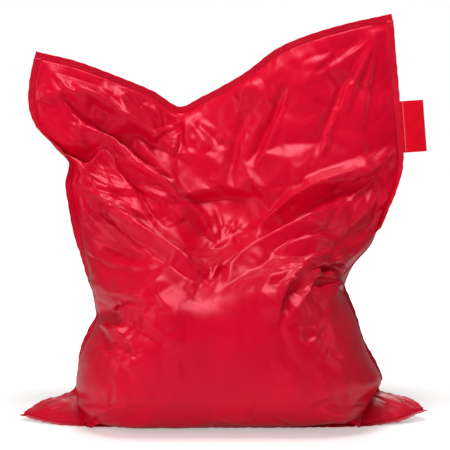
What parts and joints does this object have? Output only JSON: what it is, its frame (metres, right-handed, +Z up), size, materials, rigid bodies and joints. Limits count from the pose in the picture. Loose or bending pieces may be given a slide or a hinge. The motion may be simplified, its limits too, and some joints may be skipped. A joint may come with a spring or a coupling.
{
  "type": "bean bag chair",
  "caption": "Large rectangular two-panel bean bag in coated fabric, stood up as a lounge chair with two wings, two floor ears, a flanged seam, a blank side label and a zip under a flap.",
  "frame": {"origin": "on the floor, under the centre of the whole object's bounding box", "axes": "+Z up, -Y the way a sitter faces, +X towards the higher wing and the label"},
  "size_m": [1.3522, 0.7946, 1.3496],
  "materials": {
    "red_fabric": "semi-gloss coated nylon with a fine plain weave, heavily creased",
    "red_binding": "the same coated nylon, doubled and sewn flat",
    "red_thread": "bonded polyester sewing thread",
    "foam_beads": "expanded polystyrene beads",
    "zip_tape": "woven polyester tape",
    "zip_coil": "nylon coil",
    "zip_metal": "nickel-plated metal",
    "touch_tape": "hook-and-loop tape",
    "care_fabric": "white satin tape, blank",
    "label_fabric": "bright red woven tape, blank"
  },
  "bodies": {
    "bag": {"front_panel": "red_fabric", "back_panel": "red_fabric", "bead_fill": "foam_beads", "top_seam_flange": "red_binding", "bottom_seam_flange": "red_binding", "left_seam_flange": "red_binding", "right_seam_flange": "red_binding", "top_seam_stitching": "red_thread", "bottom_seam_stitching": "red_thread", "left_seam_stitching": "red_thread", "right_seam_stitching": "red_thread", "zip_tape_upper": "zip_tape", "zip_tape_lower": "zip_tape", "zip_coil_upper": "zip_coil", "zip_coil_lower": "zip_coil", "zip_stop_left": "zip_metal", "zip_stop_right": "zip_metal", "flap_root_band": "red_fabric", "flap_loop_strip": "touch_tape", "care_label": "care_fabric"},
    "flap": {"zip_flap": "red_fabric", "flap_hook_strip": "touch_tape"},
    "slider": {"zip_slider": "zip_metal"},
    "side_label": {"label": "label_fabric"}
  },
  "joints": [
    {"name": "flap_lift", "type": "hinge", "parent": "bag", "child": "flap", "pos_m": [0, 0.3973, 0.246], "axis": [1, 0, 0], "range_deg": [0, 165]},
    {"name": "slider_travel", "type": "slide", "parent": "bag", "child": "slider", "axis": [1, 0, 0], "range_m": [0, 0.575]},
    {"name": "label_flip", "type": "hinge", "parent": "bag", "child": "side_label", "pos_m": [0.5978, 0.105, 1.0561], "axis": [0.0708, -0.0834, -0.994], "range_deg": [-115, 115], "stiffness_Nm_per_rad": 0.01}
  ]
}
